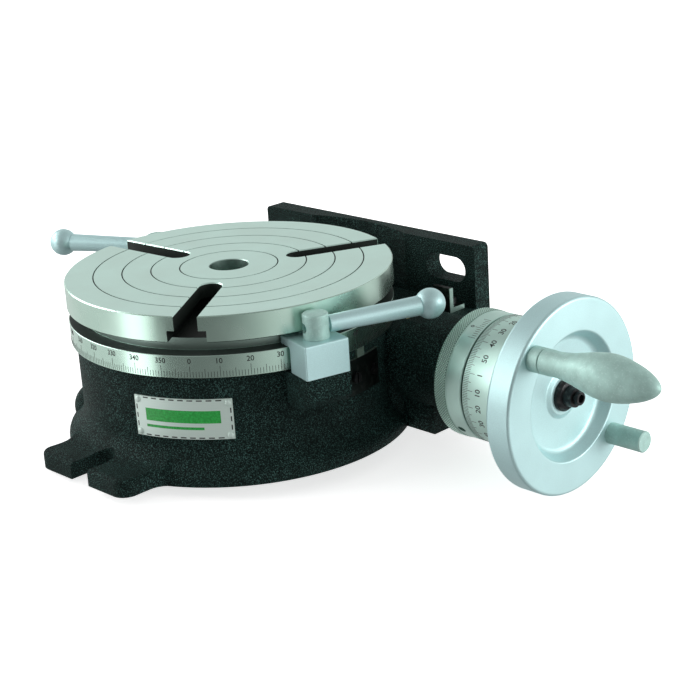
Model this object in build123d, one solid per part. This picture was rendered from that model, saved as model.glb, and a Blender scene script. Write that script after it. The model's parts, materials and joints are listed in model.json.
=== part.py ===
from build123d import *
import math
import os

# Horizontal and vertical rotary table with a 200 mm table.
# Origin: the table's axis in the plane of the base's machined underside.
# +Z is up, +X runs along the worm to the handwheel, +Y to the upright mounting plate.

# Driving dimensions, in millimetres and degrees.
table_radius = 100.0
table_top_z = 100.5
disc_thickness = 15.7
flange_radius = 99.6
flange_top_z = 77.3
flange_bottom_z = 63.8
groove_wall_radius = 90.0
zero_angle = -55.5
slot_throat = 14.0
slot_head = 23.0
slot_head_height = 7.0
slot_inner_radius = 44.0
circle_radii = (30.0, 47.5, 65.0, 82.5)
circle_width = 0.8
slot_chamfer = 0.6
register_radius = 12.0
register_depth = 8.0
morse_large_radius = 11.9125
morse_taper = 1.0 / 19.922

drum_radius = 96.5
drum_top_z = 62.4
land_z = 65.0
base_radius = 107.5
base_lip = 9.0
cavity_radius = 61.0
cover_radius = 70.0
cover_thickness = 6.0
web_bottom_z = 50.4
hub_radius = 44.0
tail_radius = 22.0
sleeve_radius = 17.0
tail_bottom_z = 14.0
running = 0.04
flat_gap = 0.05

teeth = 90
gear_module = 1.25
worm_pitch_radius = 13.0
worm_y = teeth * gear_module / 2 + worm_pitch_radius
worm_z = 39.8
wheel_height = 16.0
eccentricity = 2.0
sleeve_y = worm_y + eccentricity
eccentric_radius = 20.0
eccentric_bore = 15.2
flank_angle = 20.0
backlash = 0.48

lug_half_width = 41.0
lug_end = 126.0
lug_thickness = 10.0
lug_blend = 12.0
lug_slot = 16.0
foot_front_y = 51.7
foot_end_x = 117.0
housing_top_z = 62.0
housing_end_x = 134.0
boss_radius = 29.0

plate_front_y = 112.0
plate_back_y = 125.0
plate_left_x = -88.0
plate_right_x = 100.4
plate_top_z = 100.0
plate_relief_radius = 119.5
plate_slot_length = 33.0
plate_slot_width = 16.0
plate_slot_x = 76.0
plate_slot_z = 83.0

clamp_radius = 108.0
clamp_angles = {"front": -15.0, "rear": 165.0}
lever_angles = {"front": 69.0, "rear": 205.6}
block_width = 28.0
block_top_z = 82.3
block_outer = 120.0
boss_width = 30.0
boss_outer = 118.0
boss_bottom_z = 43.0
nut_radius = 7.5
nut_top_z = 97.0
lever_z = 89.0
lever_length = 71.5
ball_radius = 9.0

ring_back_x = 136.3
ring_front_x = 157.2
dial_radius = 38.2
collar_front_x = 187.0
handwheel_radius = 58.0
handwheel_back_x = 192.8
handwheel_front_x = 209.2
grip_radius = 48.0
grip_angle = 136.0
handle_tip_x = 292.0
finger_pin_tip_x = 233.0
finger_pin_radius = 6.4
rim_fillet = 1.9
ring_screw_radius = 18.0
ring_screw_angles = (60, 180, 300)
tommy_hole_angle = -140.0

cover_screw_radius = 65.5
cover_screw_angles = (45, 135, 225, 315)
wheel_screw_radius = 33.0
wheel_screw_angles = (30, 90, 150, 210, 270, 330)
rim_screw_angle = -134.0
rim_screw_z = 92.5
oiler_place = (84.0, 72.0)
oiler_radius = 3.0
bracket_right_x = 97.0
bracket_front_y = 92.0
bracket_screw = (90.0, 100.0)
index_span = (0.8, 18.2)
index_screws = ((4.2, 46.0), (14.6, 46.0))
name_plate_span = (-78.3, -42.6)
name_plate_heights = (25.5, 50.0)
rivet_inset = 2.4

os.makedirs("parts", exist_ok=True)


def save(name, shape):
    """Write one sub-part to its own file."""
    shape.label = name
    export_step(shape, f"parts/{name}.step")


def upright(radius, low, high, x=0.0, y=0.0):
    """A cylinder along Z from height low to height high."""
    return Pos(x, y, low) * Cylinder(radius, high - low, align=(Align.CENTER, Align.CENTER, Align.MIN))


def lying(radius, low, high, y=worm_y, z=worm_z):
    """A cylinder along X from low to high."""
    bar = Cylinder(radius, high - low, align=(Align.CENTER, Align.CENTER, Align.MIN))
    return Pos(low, y, z) * Rot(0, 90, 0) * bar


def block(x0, x1, y0, y1, z0, z1):
    """A box between two corners."""
    return Pos(x0, y0, z0) * Box(x1 - x0, y1 - y0, z1 - z0, align=(Align.MIN, Align.MIN, Align.MIN))


def radial(radius, low, high, height):
    """A cylinder along +X, at a height over the base, to be turned about Z."""
    return lying(radius, low, high, 0.0, height)


def turned(points):
    """A solid of revolution about Z from a closed outline of (radius, height) points."""
    outline = make_face(Polyline(*[(r, 0, z) for r, z in points], close=True))
    return revolve(outline, Axis.Z)


def turned_along_x(points, y=worm_y, z=worm_z):
    """A solid of revolution about a line along X from (x, radius) points."""
    outline = make_face(Polyline(*[(x, 0, r) for x, r in points], close=True))
    return Pos(0, y, z) * revolve(outline, Axis.X)


def polar(radius, angle):
    """The plan position at a radius and an angle from +X."""
    return radius * math.cos(math.radians(angle)), radius * math.sin(math.radians(angle))


def on_wheel(radius, angle):
    """The y and z of a place at a radius and an angle about the worm's axis."""
    return worm_y + radius * math.cos(math.radians(angle)), worm_z + radius * math.sin(math.radians(angle))


def group(solids):
    """Separate solids that share one node."""
    return Compound(children=list(solids))


def obround(length, width, depth):
    """An obround bar lying along X, its depth along Y, centred on the origin."""
    middle = Box(length - width, depth, width)
    ends = [Pos(s * (length - width) / 2, 0, 0) * Rot(90, 0, 0) * Cylinder(width / 2, depth) for s in (-1, 1)]
    return middle + ends


def curved_plate(inner, outer, first, last, low, high):
    """A plate bent round the drum, between two angles and two heights."""
    corners = ((inner, 0, low), (outer, 0, low), (outer, 0, high), (inner, 0, high))
    plate = make_face(Polyline(*corners, close=True))
    return Rot(0, 0, first) * revolve(plate, Axis.Z, last - first)


def rivet_places():
    """Angle and height of each of the name plate's four rivets."""
    inset = math.degrees(rivet_inset / drum_radius)
    sides = (name_plate_span[0] + inset, name_plate_span[1] - inset)
    rows = (name_plate_heights[0] + rivet_inset, name_plate_heights[1] - rivet_inset)
    return [(angle, height) for angle in sides for height in rows]


# ---------------------------------------------------------------- base casting

def base_lug():
    """The slotted lug at the front: it flares into the flange at its sides and climbs towards the drum."""
    outline = Circle(base_radius - 0.4) + Pos(0, -lug_end + 20) * Rectangle(2 * lug_half_width, 40)
    outline = fillet(outline.vertices().sort_by(Axis.Y)[0:2], 9.0)
    notches = outline.vertices().filter_by(lambda v: abs(abs(v.X) - lug_half_width) < 0.01 and v.Y > -104)
    outline = fillet(notches, lug_blend)
    inner = drum_radius - 8
    high = lug_thickness + 14
    climb = Spline((140, 0, lug_thickness), (118, 0, lug_thickness), (109, 0, lug_thickness + 0.4),
                   (103, 0, lug_thickness + 2), (98.7, 0, lug_thickness + 6), (drum_radius - 0.5, 0, high))
    rest = Polyline((drum_radius - 0.5, 0, high), (inner, 0, high), (inner, 0, 0), (140, 0, 0),
                    (140, 0, lug_thickness))
    lug = extrude(outline, 40) & revolve(make_face([climb, rest]), Axis.Z)
    # Beyond the lug's sides its top falls to the flange's rim.
    fall = Spline((57, 0, 1.5), (50, 0, 4.2), (45.5, 0, 7.6), (42, 0, 12), (39, 0, 30))
    under = Polyline((39, 0, 30), (0, 0, 30), (0, 0, 0), (57, 0, 0), (57, 0, 1.5))
    half = Pos(0, -60, 0) * extrude(make_face([fall, under]), 80, dir=(0, -1, 0))
    lug &= half + mirror(half, Plane.YZ)
    front = lug.edges().filter_by(lambda e: abs(e.center().Z - lug_thickness) < 0.5 and e.center().Y < -108)
    return fillet(front, 2.5)


def base_casting():
    foot = Spline((base_radius, 0, 2.5), (base_radius - 1.4, 0, 6.8), (base_radius - 5.2, 0, 10.6),
                  (drum_radius + 2.0, 0, base_lip + 6.5), (drum_radius, 0, base_lip + 14))
    wall = Polyline((drum_radius, 0, base_lip + 14), (drum_radius, 0, drum_top_z), (86.5, 0, drum_top_z),
                    (86.5, 0, land_z), (hub_radius + running, 0, land_z),
                    (hub_radius + running, 0, web_bottom_z),
                    (cavity_radius, 0, web_bottom_z), (cavity_radius, 0, cover_thickness),
                    (cover_radius, 0, cover_thickness), (cover_radius, 0, 0), (base_radius, 0, 0),
                    (base_radius, 0, 2.5))
    drum = revolve(make_face([foot, wall]), Axis.Z)
    mouth = block(-lug_slot / 2, lug_slot / 2, -lug_end - 1, -109.0, -1, 60)
    mouth += upright(lug_slot / 2, -1, 60, 0, -109.0)
    housing = block(-52, 92, 45, plate_front_y + 1, 0, housing_top_z)
    housing = fillet(housing.edges().filter_by(Axis.X).group_by(Axis.Y)[0].group_by(Axis.Z)[-1], 9.0)
    housing = fillet(housing.edges().filter_by(Axis.Z).group_by(Axis.Y)[0], 8.0)
    nose = lying(boss_radius, 90, housing_end_x, sleeve_y) + block(90, foot_end_x, foot_front_y, 90, 0, 50)
    nose += block(90, foot_end_x, 62, plate_front_y - 6, 28, housing_top_z)
    feet = block(70, foot_end_x, foot_front_y, plate_back_y, 0, lug_thickness)
    feet += block(-foot_end_x, -45, foot_front_y, plate_back_y, 0, lug_thickness)
    feet = fillet(feet.edges().filter_by(Axis.Z).group_by(Axis.Y)[0], 6.0)
    plate = block(plate_left_x, plate_right_x, plate_front_y, plate_back_y, 0, plate_top_z)
    plate = fillet(plate.edges().filter_by(Axis.Y).group_by(Axis.Z)[-1], 3.0)
    body = drum + base_lug() + housing + nose + feet + plate
    for angle in clamp_angles.values():
        boss = block(drum_radius - 8, boss_outer, -boss_width / 2, boss_width / 2, boss_bottom_z, drum_top_z)
        boss = chamfer(boss.edges().filter_by(Axis.Y).group_by(Axis.Z)[0].group_by(Axis.X)[-1], 5.0)
        body += Rot(0, 0, angle) * boss
    # A low round boss swells out of the drum's foot on the left.
    x, y = polar(drum_radius - 4.5, -142)
    body += Pos(x, y, 10) * Sphere(15)
    # Everything inside the drum and above the casting's top is cut clear again.
    body -= mouth
    body -= upright(cavity_radius, cover_thickness - 0.1, web_bottom_z)
    body -= upright(cover_radius, -1, cover_thickness)
    body -= block(-140, 140, -140, 140, -20, 0)
    swept = flange_radius + 2.5
    body -= turned([(86.5, drum_top_z), (swept, drum_top_z), (swept, 110), (86.5, 110)])
    body -= upright(plate_relief_radius, housing_top_z + 4, plate_top_z + 1)
    for side in (-1, 1):
        slot = block(99, 130, -lug_slot / 2, lug_slot / 2, -1, lug_thickness + 1)
        slot += upright(lug_slot / 2, -1, lug_thickness + 1, 99, 0)
        body -= Pos(0, 101, 0) * (slot if side == 1 else Rot(0, 0, 180) * slot)
    # The worm bore, its wider end, and the plug's seat.
    body -= lying(eccentric_radius + running, -60, housing_end_x + 1, sleeve_y)
    for x in (plate_slot_x, plate_left_x + plate_right_x - plate_slot_x):
        body -= Pos(x, (plate_front_y + plate_back_y) / 2, plate_slot_z) * obround(
            plate_slot_length, plate_slot_width, plate_back_y - plate_front_y + 2)
    for angle in clamp_angles.values():
        x, y = polar(clamp_radius, angle)
        body -= upright(5.0, boss_bottom_z + 4, drum_top_z + 1, x, y)
    for angle in cover_screw_angles:
        x, y = polar(cover_screw_radius, angle)
        body -= upright(2.5, cover_thickness - 1, 19, x, y)
    x, y = oiler_place
    body -= upright(oiler_radius, housing_top_z - 6, housing_top_z + 1, x, y)
    x, y = bracket_screw
    body -= upright(2.0, housing_top_z - 8, housing_top_z + 1, x, y)
    for angle, height in index_screws:
        body -= Rot(0, 0, angle) * radial(2.0, drum_radius - 9, drum_radius + 1, height)
    for angle, height in rivet_places():
        body -= Rot(0, 0, angle) * radial(1.0, drum_radius - 5, drum_radius + 1, height)
    return body


save("base_casting", base_casting())


# ---------------------------------------------------------------- closures of the base

def bottom_cover():
    cover = upright(cover_radius - 0.1, 0, cover_thickness)
    for angle in cover_screw_angles:
        x, y = polar(cover_screw_radius, angle)
        cover -= upright(2.7, -1, cover_thickness + 1, x, y)
        cover -= Pos(x, y, 0) * Cone(4.0, 2.7, 2.0, align=(Align.CENTER, Align.CENTER, Align.MIN))
    return cover


def cover_screw(angle):
    x, y = polar(cover_screw_radius, angle)
    head = Pos(x, y, 0.2) * Cone(3.7, 2.4, 1.8, align=(Align.CENTER, Align.CENTER, Align.MIN))
    return head + upright(2.4, 1.5, 18, x, y) - upright(1.3, 0, 1.6, x, y)


save("bottom_cover", bottom_cover())
save("cover_screws", group(cover_screw(a) for a in cover_screw_angles))
save("thrust_washer", upright(57.0, 48.35, web_bottom_z) - upright(46.0, 48, web_bottom_z + 1))
save("worm_bore_plug", lying(eccentric_radius, -51.5, -46.5, sleeve_y))


# ---------------------------------------------------------------- table

def table_top():
    disc_z = table_top_z - disc_thickness
    body = turned([(register_radius + 0.5, table_top_z), (table_radius - 0.6, table_top_z),
                   (table_radius, table_top_z - 0.6), (table_radius, disc_z + 0.5),
                   (table_radius - 0.5, disc_z),
                   (groove_wall_radius, disc_z), (groove_wall_radius, flange_top_z),
                   (flange_radius - 0.5, flange_top_z), (flange_radius, flange_top_z - 0.5),
                   (flange_radius, flange_bottom_z), (88.0, flange_bottom_z), (88.0, land_z + flat_gap),
                   (hub_radius, land_z + flat_gap), (hub_radius, 48.3), (tail_radius, 48.3),
                   (tail_radius, tail_bottom_z), (sleeve_radius, tail_bottom_z),
                   (sleeve_radius, table_top_z - register_depth),
                   (register_radius, table_top_z - register_depth),
                   (register_radius, table_top_z - 0.5)])
    half = slot_throat / 2
    wide = half + slot_chamfer + 1
    shoulder = table_top_z - slot_chamfer
    section = make_face(Polyline((0, -half, disc_z), (0, half, disc_z), (0, half, shoulder),
                                 (0, wide, table_top_z + 1), (0, -wide, table_top_z + 1),
                                 (0, -half, shoulder), close=True))
    slot_end = table_radius + 5
    throat = Pos(slot_inner_radius, 0, 0) * extrude(section, slot_end - slot_inner_radius, dir=(1, 0, 0))
    throat += upright(half, disc_z, shoulder, slot_inner_radius, 0)
    throat += Pos(slot_inner_radius, 0, shoulder) * Cone(
        half, wide, slot_chamfer + 1, align=(Align.CENTER, Align.CENTER, Align.MIN))
    head_z = disc_z + slot_head_height
    head = block(slot_inner_radius, slot_end, -slot_head / 2, slot_head / 2, disc_z, head_z)
    head += upright(slot_head / 2, disc_z, head_z, slot_inner_radius, 0)
    for number in range(3):
        body -= Rot(0, 0, zero_angle + 120 * number) * (throat + head)
    for radius in circle_radii:
        groove = upright(radius + circle_width / 2, table_top_z - 0.5, table_top_z + 1)
        body -= groove - upright(radius - circle_width / 2, table_top_z - 1, table_top_z + 2)
    for angle in wheel_screw_angles:
        x, y = polar(wheel_screw_radius, angle)
        body -= upright(3.0, 48, 61, x, y)
    body -= Rot(0, 0, rim_screw_angle) * radial(3.0, table_radius - 9, table_radius + 1, rim_screw_z)
    return body


def centre_sleeve():
    top = table_top_z - register_depth
    small = morse_large_radius - (top - tail_bottom_z) * morse_taper / 2
    return turned([(morse_large_radius, top), (sleeve_radius, top), (sleeve_radius, tail_bottom_z),
                   (small, tail_bottom_z)])


def worm_wheel():
    tip = teeth * gear_module / 2 + gear_module
    blank = upright(tip, worm_z - wheel_height / 2, 48.3) - upright(tail_radius, 20, 60)
    pitch = math.pi * gear_module
    depth = 2.3 * gear_module
    half = pitch / 4 + backlash / 2
    slope = math.tan(math.radians(flank_angle))
    outer = half + (gear_module + 0.6) * slope
    inner = half - (depth - gear_module) * slope
    gap = Polyline((tip + 0.6, -outer), (tip + 0.6, outer), (tip - depth, inner), (tip - depth, -inner),
                   close=True)
    lead = math.degrees(math.atan(gear_module / (2 * worm_pitch_radius)))
    cutter = extrude(make_face(gap), 15.0, both=True)
    cutter = Pos(0, 0, worm_z) * Rot(-lead, 0, 0) * cutter
    blank -= [Rot(0, 0, 90 + 360 * n / teeth) * cutter for n in range(teeth)]
    for angle in wheel_screw_angles:
        x, y = polar(wheel_screw_radius, angle)
        blank -= upright(3.2, 20, 60, x, y) + upright(5.3, 20, worm_z - wheel_height / 2 + 6.2, x, y)
    return blank


def wheel_screw(angle):
    x, y = polar(wheel_screw_radius, angle)
    low = worm_z - wheel_height / 2
    screw = upright(5.0, low + 0.2, low + 6.2, x, y) + upright(3.0, low + 6, 60, x, y)
    return screw - Pos(x, y, low) * extrude(RegularPolygon(2.9, 6), 3.2)


def spindle_nut():
    low = 20.0
    high = worm_z - wheel_height / 2
    nut = upright(27.0, low, high) - upright(tail_radius, low - 1, high + 1)
    for number in range(4):
        nut -= Rot(0, 0, 90 * number) * block(24.5, 30, -2.5, 2.5, low - 1, high + 1)
    return nut


def rim_screw():
    screw = radial(3.0, table_radius - 8, table_radius - 0.4, rim_screw_z)
    screw -= block(table_radius - 1.6, table_radius, -0.5, 0.5, rim_screw_z - 4, rim_screw_z + 4)
    return Rot(0, 0, rim_screw_angle) * screw


save("table_top", table_top())
save("centre_sleeve", centre_sleeve())
save("worm_wheel", worm_wheel())
save("wheel_screws", group(wheel_screw(a) for a in wheel_screw_angles))
save("spindle_nut", spindle_nut())
save("rim_screw", rim_screw())


# ---------------------------------------------------------------- worm and its eccentric sleeve

def worm_shaft():
    pitch = math.pi * gear_module
    root = worm_pitch_radius - 1.2 * gear_module
    slope = math.tan(math.radians(flank_angle))
    crest = pitch / 4 - backlash / 2 - gear_module * slope
    foot = pitch / 4 - backlash / 2 + 1.5 * gear_module * slope
    turns = 7
    start = -turns * pitch / 2
    path = Helix(pitch, turns * pitch, worm_pitch_radius)
    tip = worm_pitch_radius + gear_module
    base = worm_pitch_radius - 1.5 * gear_module
    profile = Polyline((tip, 0, crest), (base, 0, foot), (base, 0, -foot), (tip, 0, -crest), close=True)
    thread = sweep(make_face(profile), path, is_frenet=True)
    # The helix climbs along Z from +X: turned so that it climbs along +X from +Y.
    thread = Pos(start, worm_y, worm_z) * Rot(0, 90, 0) * Rot(0, 0, 90) * thread
    core = turned_along_x([(-42, 0), (-42, 6), (-38, 6), (-38, 8), (-20, 8), (-20, root), (20, root), (24, 10),
                           (135, 10), (135, 8), (200.5, 8), (200.5, 5), (210.5, 5), (210.5, 0)])
    return core + thread


def eccentric_sleeve():
    sleeve = lying(eccentric_radius, -40.0, ring_back_x, sleeve_y)
    sleeve += lying(24.0, ring_back_x - 0.9, 139.0, sleeve_y)
    sleeve -= lying(eccentric_bore, -41, 140)
    # The half that would foul the worm wheel while the sleeve turns is cut away.
    window = Pos(0, sleeve_y, worm_z) * Rot(30, 0, 0) * block(-30, 30, -22, 22, 0, 22)
    return sleeve - window


def knurled_ring():
    ring = turned_along_x([(ring_back_x, 12), (ring_back_x, dial_radius - 1), (ring_back_x + 1, dial_radius),
                           (146.0, dial_radius), (146.3, dial_radius - 0.3), (146.6, dial_radius),
                           (ring_front_x - 0.5, dial_radius), (ring_front_x, dial_radius - 0.5),
                           (ring_front_x, 12)])
    ring -= lying(24.0, ring_back_x - 1, 139.0, sleeve_y)
    for angle in ring_screw_angles:
        y, z = on_wheel(ring_screw_radius, angle)
        ring -= lying(2.2, 138, 153, y, z) + lying(4.0, 152, 158, y, z)
    y, z = on_wheel(dial_radius - 9, tommy_hole_angle)
    tommy = Pos(149.5, y, z) * Rot(tommy_hole_angle, 0, 0) * Rot(-90, 0, 0) * Cylinder(2.6, 20)
    return ring - tommy


def ring_screw(angle):
    y, z = on_wheel(ring_screw_radius, angle)
    screw = lying(3.7, 152, 156, y, z) + lying(2.0, 137, 153, y, z)
    return screw - Pos(153.8, y, z) * Rot(0, 90, 0) * extrude(RegularPolygon(1.7, 6), 3)


def drilled_sleeve():
    sleeve = eccentric_sleeve()
    for angle in ring_screw_angles:
        y, z = on_wheel(ring_screw_radius, angle)
        sleeve -= lying(2.0, 136.9, 140, y, z)
    return sleeve


def keyway(low, high):
    """The slot or the body of the key that locks wheel and dial hub to the shaft."""
    return block(low, high, worm_y - 2.5, worm_y + 2.5, worm_z + 5.2, worm_z + 10.2)


save("worm_shaft", worm_shaft() - keyway(176, 196) - lying(2.5, 199, 213))
save("eccentric_sleeve", drilled_sleeve())
save("knurled_ring", knurled_ring())
save("ring_screws", group(ring_screw(a) for a in ring_screw_angles))
save("front_bush", lying(eccentric_bore, 110, 134) - lying(10 + running, 109, 135))
save("rear_bush", lying(eccentric_bore, -37.8, -22) - lying(8 + running, -39, -21))
save("worm_lock_nut", lying(11, -41.9, -38.1) - lying(6, -43, -37))
save("wheel_key", keyway(176, 196))


# ---------------------------------------------------------------- dial and handwheel

def dial_hub():
    return lying(22, 158.8, 187.4) - lying(8, 158, 188) - keyway(150, 200)


def graduated_collar():
    return turned_along_x([(158.4, 22 + running), (158.4, dial_radius - 0.4), (158.8, dial_radius),
                           (collar_front_x - 0.4, dial_radius), (collar_front_x, dial_radius - 0.4),
                           (collar_front_x, 22 + running)])


def handwheel():
    back = handwheel_back_x
    front = handwheel_front_x
    rim = handwheel_radius
    corners = [(187.4, 8), (187.4, 26), (back + 2, 28), (back + 3.4, 46), (back, 49), (back, rim),
               (front, rim), (front, 38.2), (201.6, 34), (200.6, 14.5), (202.2, 12), (202.2, 8)]
    radii = [0, 1, 6, 3, 1.5, rim_fillet, rim_fillet, 1.2, 4, 1.2, 0.8, 0]
    section = make_face(FilletPolyline(*[(x, 0, r) for x, r in corners], radius=radii, close=True))
    wheel = Pos(0, worm_y, worm_z) * revolve(section, Axis.X)
    wheel -= keyway(150, 200)
    for angle in (grip_angle, grip_angle + 180):
        y, z = on_wheel(grip_radius, angle)
        wheel -= lying(3.0, 198, front + 1, y, z)
    return wheel


def shaft_nut():
    return turned_along_x([(202.2, 5), (202.2, 9.6), (203.9, 9.6), (205.4, 8.2), (205.8, 6.2), (211.0, 5.8),
                           (211.0, 2.5), (210.6, 2.5), (210.6, 5)])


def shaft_screw():
    screw = turned_along_x([(200, 0), (200, 2.5), (211.05, 2.5), (211.05, 3.9), (214.0, 3.9), (214.3, 3.6),
                            (214.3, 0)])
    return screw - Pos(211.8, worm_y, worm_z) * Rot(0, 90, 0) * extrude(RegularPolygon(2.7, 6), 5)


def finger_pin():
    front = handwheel_front_x
    y, z = on_wheel(grip_radius, grip_angle + 180)
    return turned_along_x([(front - 10, 0), (front - 10, 3), (front, 3), (front, finger_pin_radius),
                           (finger_pin_tip_x - 0.6, finger_pin_radius),
                           (finger_pin_tip_x, finger_pin_radius - 0.6),
                           (finger_pin_tip_x, 0)], y, z)


def handle_ferrule():
    y, z = on_wheel(grip_radius, grip_angle)
    front = handwheel_front_x
    outline = [(front, 3), (front, 6.9), (front + 0.6, 7.4), (216.2, 7.4), (216.6, 7.0), (216.6, 3)]
    return turned_along_x(outline, y, z)


def handle_axle():
    y, z = on_wheel(grip_radius, grip_angle)
    return turned_along_x([(199, 0), (199, 3), (258.4, 3), (258.4, 4.6), (261, 4.6), (261, 0)], y, z)


def spinner_handle():
    y, z = on_wheel(grip_radius, grip_angle)
    start = 216.9
    swell = Spline((start + 4.5, 0, 7.4), (start + 13, 0, 7.5), (start + 28, 0, 10.6), (start + 42, 0, 12.9),
                   (start + 57, 0, 10.9), (handle_tip_x - 6, 0, 6.3), (handle_tip_x - 1.3, 0, 2.5),
                   (handle_tip_x, 0, 0))
    inside = Polyline((handle_tip_x, 0, 0), (264, 0, 0), (264, 0, 5), (258, 0, 5), (258, 0, 3.05),
                      (start, 0, 3.05), (start, 0, 7.0), (start + 0.4, 0, 7.4), (start + 4.5, 0, 7.4))
    return Pos(0, y, z) * revolve(make_face([swell, inside]), Axis.X)


save("dial_hub", dial_hub())
save("graduated_collar", graduated_collar())
save("handwheel", handwheel())
save("shaft_nut", shaft_nut())
save("shaft_screw", shaft_screw())
save("finger_pin", finger_pin())
save("handle_ferrule", handle_ferrule())
save("handle_axle", handle_axle())
save("spinner_handle", spinner_handle())


# ---------------------------------------------------------------- table clamps

def clamp_block():
    low = drum_top_z + 0.1
    outline = [(91.3, block_top_z), (91.3, flange_top_z + 0.3), (100.6, flange_top_z + 0.3), (101.6, 76.4),
               (101.6, low), (block_outer, low), (block_outer, block_top_z)]
    side = make_face(Polyline(*[(r, -block_width / 2, z) for r, z in outline], close=True))
    body = extrude(side, block_width, dir=(0, 1, 0))
    outer = body.edges().filter_by(Axis.Z).group_by(Axis.X)[-1] + body.edges().group_by(Axis.Z)[-1]
    body = fillet(outer.filter_by(lambda edge: edge.center().X > 95), 0.8)
    return body - upright(5.3, 60, 85, clamp_radius, 0)


def clamp_nut(lever_turn):
    """The round nut, with its cross hole along the bar."""
    nut = upright(nut_radius, block_top_z + 0.1, nut_top_z)
    nut = fillet(nut.edges().filter_by(GeomType.CIRCLE).group_by(Axis.Z)[-1], 1.2)
    nut -= upright(5.0 + running, 80, 85.5)
    nut = Pos(clamp_radius, 0, 0) * nut
    return nut - Pos(clamp_radius, 0, 0) * Rot(0, 0, lever_turn) * radial(3.0, -20, 20, lever_z)


def clamp_bar(lever_turn):
    end = lever_length - ball_radius + 1.6
    bar = turned_along_x([(-2.5, 0), (-2.5, 3), (nut_radius, 3), (nut_radius + 0.2, 4.9),
                          (end, 5.8), (end, 0)], 0, lever_z)
    bar -= upright(nut_radius, lever_z - 10, lever_z + 10) - radial(3.0, -20, 20, lever_z)
    ball = Pos(lever_length, 0, lever_z) * Sphere(ball_radius)
    return Pos(clamp_radius, 0, 0) * Rot(0, 0, lever_turn) * (bar - ball)


def clamp_ball(lever_turn):
    ball = Pos(lever_length, 0, lever_z) * Sphere(ball_radius)
    return Pos(clamp_radius, 0, 0) * Rot(0, 0, lever_turn) * ball


for side, angle in clamp_angles.items():
    turn = lever_angles[side] - angle
    place = Rot(0, 0, angle)
    save(f"{side}_clamp_block", place * clamp_block())
    save(f"{side}_clamp_stud", place * upright(5.0, boss_bottom_z + 4, 85.3, clamp_radius, 0))
    save(f"{side}_clamp_nut", place * clamp_nut(turn))
    save(f"{side}_clamp_bar", place * clamp_bar(turn))
    save(f"{side}_clamp_ball", place * clamp_ball(turn))


# ---------------------------------------------------------------- trim on the base

def index_plate():
    plate = curved_plate(drum_radius, drum_radius + 1.6, *index_span, 35.5, 57.5)
    plate += curved_plate(drum_radius, drum_radius + 1.6, 5.6, 9.4, 57.0, 63.2)
    for angle, height in index_screws:
        plate -= Rot(0, 0, angle) * radial(2.0, drum_radius - 3, drum_radius + 5, height)
    return plate


def index_screw(angle, height):
    face = drum_radius + 1.7
    screw = radial(3.3, face, face + 1.6, height) + radial(2.0, drum_radius - 8, face + 0.5, height)
    screw -= block(face + 0.7, face + 3, -0.5, 0.5, height - 4, height + 4)
    return Rot(0, 0, angle) * screw


def name_plate():
    low, high = name_plate_heights
    plate = curved_plate(drum_radius, drum_radius + 0.8, *name_plate_span, low, high)
    for angle, height in rivet_places():
        plate -= Rot(0, 0, angle) * radial(1.0, drum_radius - 3, drum_radius + 5, height)
    return plate


def rivet(angle, height):
    face = drum_radius + 0.85
    outline = [(drum_radius - 4, 0), (drum_radius - 4, 1), (face, 1), (face, 2), (face + 0.5, 1.7),
               (face + 0.9, 1.0), (face + 1.05, 0)]
    return Rot(0, 0, angle) * turned_along_x(outline, 0, height)


def worm_oiler():
    x, y = oiler_place
    cup = upright(oiler_radius, housing_top_z - 1.9, housing_top_z + 0.6, x, y)
    cup += Pos(x, y, housing_top_z) * Cone(4.2, 3.2, 1.4, align=(Align.CENTER, Align.CENTER, Align.MIN))
    cup -= upright(2.0, housing_top_z - 1, housing_top_z + 3, x, y)
    return cup + Pos(x, y, housing_top_z + 0.2) * Sphere(1.9)


def stop_bracket():
    right, front = bracket_right_x, bracket_front_y
    bracket = block(right - 14, right, front, front + 3, housing_top_z, 77.8)
    bracket += block(right - 14, right, front, front + 13, housing_top_z, housing_top_z + 3)
    return bracket - upright(2.1, 60, 70, *bracket_screw)


def bracket_screw_shape():
    x, y = bracket_screw
    top = housing_top_z + 3
    screw = upright(3.6, top, top + 3.5, x, y) + upright(2.0, housing_top_z - 7, top + 1, x, y)
    return screw - Pos(x, y, top + 1.5) * extrude(RegularPolygon(1.7, 6), 3)


save("index_plate", index_plate())
save("index_plate_screws", group(index_screw(a, h) for a, h in index_screws))
save("name_plate", name_plate())
save("name_plate_rivets", group(rivet(a, h) for a, h in rivet_places()))
save("worm_oiler", worm_oiler())
save("stop_bracket", stop_bracket())
save("stop_bracket_screw", bracket_screw_shape())
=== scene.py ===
# %% [markdown]
# # A rotary table, finish by finish
#
# A rotary table sits on a milling machine and turns the work by exact angles. A worm drives a wheel
# under the round table, a handwheel drives the worm, and two engraved scales say how far it went.
#
# The CAD model arrives as a fixed frame: every node already has its true shape and place, so
# nothing here moves or resizes one. This notebook gives each node the finish of the real piece, and
# adds the fine work that a CAD file leaves out: the scales and their numbers, the knurling and the
# name plate.

# %% Load the frame
import json
import math

import bpy
from mathutils import Matrix, Vector


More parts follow.
